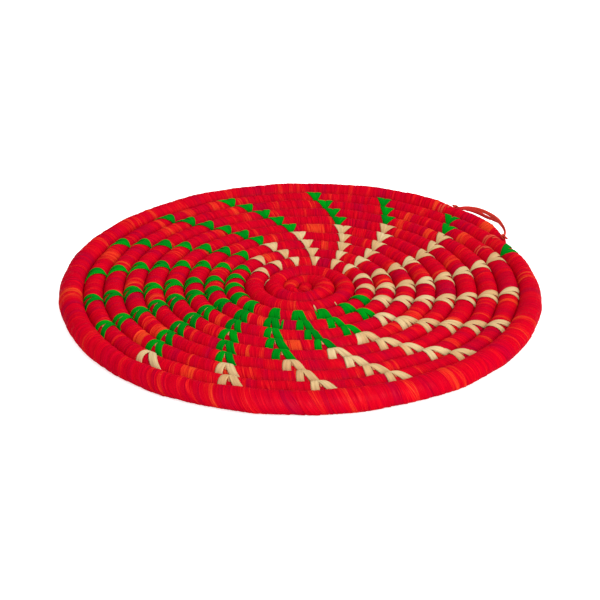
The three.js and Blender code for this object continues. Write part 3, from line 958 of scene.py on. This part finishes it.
def stitch_back(ray, row, draw):
    """The back of one stitch: one flat strand under the coil, from its outer groove to its inner
    one."""
    turn, radius, _, size = stitch_place(ray, row)
    around = np.linspace(leg_end, leg_top - 2 * math.pi, leg_steps)
    first = draw.normal(back_start, back_waver)
    last = draw.normal(back_end, back_waver)
    arc = np.linspace(first, last, leg_steps)
    width = leg_width * strip_share(size)
    ridges = draw.normal(0, leg_ridge, (1, top_points))
    return strap(turn, radius, around, arc, width, back_lift, back_crown, ridges)


def stray_strand(angle, turns, begin, finish, lean, width, draw):
    """A loose end or a doubled strand that lies flat beside a stitch, pointed where it begins."""
    turn = turn_at(angle, turns)
    around = np.linspace(math.radians(begin), math.radians(finish), leg_steps)
    arc = np.linspace(0, lean, leg_steps)
    breadth = width * np.clip(np.linspace(*stray_widths, leg_steps), 0, 1)
    ridges = draw.normal(0, stray_ridge, (1, top_points))
    return strap(turn, turn_pitch * turn, around, arc, breadth, stray_lift, stray_crown, ridges)


def add_stitches(raffias):
    """Every ray's stitches, one piece for each ray and colour."""
    strand = 0
    for index, ray in enumerate(rays, start=1):
        for letter, (colour, material) in raffias.items():
            rows = [row for row, mark in enumerate(ray[3]) if mark == letter]
            if not rows:
                continue
            draw = np.random.default_rng(100 * index + ord(letter))
            straps = [leg for row in rows for leg in stitch_legs(ray, row, draw)]
            straps += [stitch_back(ray, row, draw) for row in rows]
            straps += [stray_strand(*stray[2:], draw) for stray in strays
                       if stray[:2] == (index, letter)]
            piece = add_tubes(f"{colour}_ray_{index:02d}", np.stack(straps), material, strand)
            strand += len(straps)
            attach(piece, "basket")
            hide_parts(f"{colour}_stitches_ray_{index:02d}")


def add_peeks(material):
    """Specks of grass that show where the legs of a stitch part: short wedges in the fork of the front
    stitches, half way between the legs."""
    draw = np.random.default_rng(peek_seed)
    around = np.linspace(peek_start, peek_end, leg_steps)
    wedges = []
    for index in peek_rays:
        ray = rays[index - 1]
        for row in range(1, len(ray[3])):
            if (index, row) in wide_stitches:
                continue
            turn, radius, ahead, size = stitch_place(ray, row)
            first, second = leg_offsets(ahead, size, around)
            arc = (first + second) / 2 + draw.normal(0, peek_waver)
            width = np.linspace(peek_point, draw.uniform(*peek_limits) * size, leg_steps)
            lift = np.linspace(*peek_lifts, leg_steps)
            wedges.append(strap(turn, radius, around, arc, width, lift, peek_crown, ridges=0))
    peeks = add_tubes("grass_peeks", np.stack(wedges), material)
    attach(peeks, "basket")
    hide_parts("grass_core")


def add_lashing(name, node, turn, laps, pitch, material):
    """A lashing's laps round one turn of the coil: a flat strand on a helix that leans and wanders by
    sine waves."""
    lap = np.linspace(0, laps, lap_steps * laps + 1)
    around = lap_start - 2 * math.pi * lap
    wander = lap_lean * np.sin(around) + lap_wander * np.sin(wander_waves * lap + turn)
    turns = turn - (pitch * (lap - laps / 2) + wander) / (2 * math.pi * turn_pitch * turn)
    path = on_coil(turns, around, lap_lift)
    add_strand(name, node, path, thick=0.26, wide=0.5, material=material)


def add_eye(name, node, eye, material):
    """The strand that holds one end of the loop: two thin laps that circle the loop's line."""
    axis = unit(lower_eye - upper_eye)
    up = np.array([0, 0, 1])
    side = np.cross(axis, up)
    lap = np.linspace(0, eye_laps, eye_steps)[:, None]
    reach = loop_diameter / 2 - eye_sink
    ring = (eye + eye_pitch * (lap - eye_laps / 2) * axis + reach * np.cos(2 * math.pi * lap) * side
            + reach * np.sin(2 * math.pi * lap) * up)
    add_strand(name, node, ring, thick=0.2, wide=0.5, material=material)


def add_strand(name, node, path, thick, wide, material):
    """A flat strand along a path that circles the loop's direction: an oval section across its
    travel."""
    travel = unit(np.gradient(path, axis=0))
    out = unit(np.cross(travel, lower_eye - upper_eye))
    beside = np.cross(out, travel)
    angle = 2 * math.pi * np.arange(strand_sides) / strand_sides
    points = (path[:, None] + thick * np.cos(angle)[None, :, None] * out[:, None]
              + wide * np.sin(angle)[None, :, None] * beside[:, None])
    points[..., 2] = np.maximum(points[..., 2], lowest_height)
    piece = add_tubes(name, points[None], material, first_strand=60)
    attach(piece, "basket")
    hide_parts(node)


def add_floor(material):
    """A large level floor under the basket."""
    corners = [(-1, -1, 0), (1, -1, 0), (1, 1, 0), (-1, 1, 0)]
    mesh = bpy.data.meshes.new("floor")
    mesh.from_pydata(np.array(corners, float) * floor_reach * MM, [], [(0, 1, 2, 3)])
    mesh.materials.append(material)
    floor = bpy.data.objects.new("floor", mesh)
    bpy.context.scene.collection.objects.link(floor)


def add_light(name, place, size, power):
    """A square soft light that faces the basket."""
    lamp = bpy.data.lights.new(name, "AREA")
    lamp.size = size
    lamp.energy = power
    holder = bpy.data.objects.new(name, lamp)
    holder.location = place
    direction = -unit(np.array(place))
    heading = math.atan2(direction[1], direction[0]) - math.pi / 2
    holder.rotation_euler = (math.acos(-direction[2]), 0, heading)
    bpy.context.scene.collection.objects.link(holder)


def add_studio():
    """Soft light from all round, and two large soft lights above."""
    world = bpy.data.worlds.new("studio")
    world.use_nodes = True
    backdrop = world.node_tree.nodes["Background"]
    backdrop.inputs["Color"].default_value = (1, 1, 1, 1)
    backdrop.inputs["Strength"].default_value = world_light
    bpy.context.scene.world = world
    add_light("key_light", place=(0.85, -1.5, 0.9), size=1.6, power=36)
    add_light("back_light", place=(0.8, 1.1, 1.5), size=1.4, power=18)
    bpy.context.scene.view_settings.view_transform = "Standard"


add_camera()
fibre_group = make_fibre_group()
orange_raffia = make_raffia(
    "orange_raffia", fibre_group,
    [(0, (0.4, 0.016, 0.02)), (0.5, (0.46, 0.03, 0.022)), (1, (0.54, 0.065, 0.027))],
    fibres=5, stretch=9, run=0.3, seed=5, shares=(0.8, 0.4, 0.4), depth=0.2, edge=0,
    roughness=0.5, shine=0.04, tint=(1, 0.35, 0.35))
add_loop(orange_raffia)
# The red raffia's darker strand edges (edge=0.28) are painted shade along the lapped edges of its
# strands.
red_raffia = make_raffia(
    "red_raffia", fibre_group,
    [(0, (0.33, 0.0002, 0.018)), (0.25, (0.4, 0.0002, 0.0125)), (0.55, (0.46, 0.0002, 0.009)),
     (0.74, (0.49, 0.001, 0.008)), (0.86, (0.53, 0.013, 0.0085)), (1, (0.58, 0.045, 0.011))],
    fibres=11, stretch=2.2, run=0.13, seed=0, shares=(0.5, 1.15, 1), depth=0.25, edge=0.28,
    roughness=0.42, shine=0.002, tint=(1, 0.25, 0.4), gloss=0.04)
green_raffia = make_raffia(
    "green_raffia", fibre_group,
    [(0, (0.0001, 0.14, 0.007)), (0.5, (0.0001, 0.185, 0.006)), (1, (0.0001, 0.23, 0.005))],
    fibres=7, stretch=1.5, run=0.3, seed=3, shares=(0.8, 0.5, 0.4), depth=0.15, edge=0,
    roughness=0.5, shine=0.003, tint=(0.15, 1, 0.2))
natural_raffia = make_raffia(
    "natural_raffia", fibre_group,
    [(0, (0.45, 0.26, 0.116)), (0.5, (0.48, 0.325, 0.153)), (1, (0.51, 0.39, 0.208))],
    fibres=7, stretch=1.5, run=0.3, seed=4, shares=(0.8, 0.5, 0.5), depth=0.14, edge=0,
    roughness=0.5, shine=0.02, tint=(1, 0.9, 0.8))
grass = make_plain("grass", (0.42, 0.15, 0.055), roughness=0.8, noise_scale=400, depth=0.3)
floor_paint = make_plain("floor_paint", (0.9, 0.9, 0.9), roughness=0.9, noise_scale=3, depth=0.01,
                         glow=floor_glow)
add_wrap(red_raffia)
add_knot(red_raffia)
add_core(grass)
add_stitches({"G": ("green", green_raffia), "N": ("natural", natural_raffia)})
add_peeks(grass)
for name, node, angle, turns, laps, pitch in lashings:
    add_lashing(name, node, turn_at(angle, turns), laps, pitch, orange_raffia)
add_eye("upper_lashing_eye", "upper_lashing", upper_eye, orange_raffia)
add_eye("lower_lashing_eye", "lower_lashing", lower_eye, orange_raffia)
add_floor(floor_paint)
add_studio()
